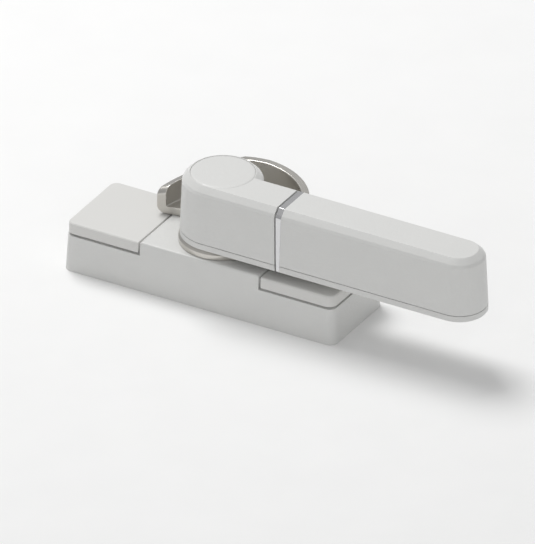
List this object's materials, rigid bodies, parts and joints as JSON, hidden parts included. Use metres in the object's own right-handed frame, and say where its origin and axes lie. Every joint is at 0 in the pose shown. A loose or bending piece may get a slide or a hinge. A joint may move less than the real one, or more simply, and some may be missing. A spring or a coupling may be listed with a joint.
{
  "type": "sliding window lock",
  "caption": "Crescent lock for a sliding window: a flat base with clip-on end covers, and a handle that swings a ramped crescent over its keeper.",
  "frame": {"origin": "the spindle's axis on the mounting face, midway between the two fixing holes", "axes": "+X along the base towards the grip, +Y towards the keeper, +Z away from the window frame"},
  "size_m": [0.1399, 0.041, 0.0398],
  "materials": {
    "coated_casting": "satin powder coat",
    "cover_plastic": "satin, moulded to match the casting",
    "satin_crescent": "satin plated",
    "satin_trim": "satin",
    "zinc_steel": "zinc plated",
    "spring_steel": "oiled",
    "nylon": "natural"
  },
  "bodies": {
    "base": {"base_housing": "coated_casting", "left_end_cover": "cover_plastic", "right_end_cover": "cover_plastic", "thrust_washer": "nylon", "lower_washer": "zinc_steel", "stop_pin": "zinc_steel", "detent_spring_front": "spring_steel", "detent_spring_rear": "spring_steel"},
    "handle": {"pivot_spindle": "zinc_steel", "detent_cam": "zinc_steel", "disc_spring": "spring_steel", "retaining_ring": "spring_steel", "crescent_hook": "satin_crescent", "handle_arm": "coated_casting", "handle_collar": "satin_trim", "handle_grip": "coated_casting", "grip_screw": "zinc_steel", "pivot_cap": "coated_casting", "head_washer": "zinc_steel", "head_spring_washer": "spring_steel", "head_screw": "zinc_steel", "drive_dowels": "zinc_steel"}
  },
  "joints": [
    {"name": "handle_turn", "type": "hinge", "parent": "base", "child": "handle", "pos_m": [0, 0, 0], "axis": [0, 0, 1], "range_deg": [-180, 0]}
  ]
}
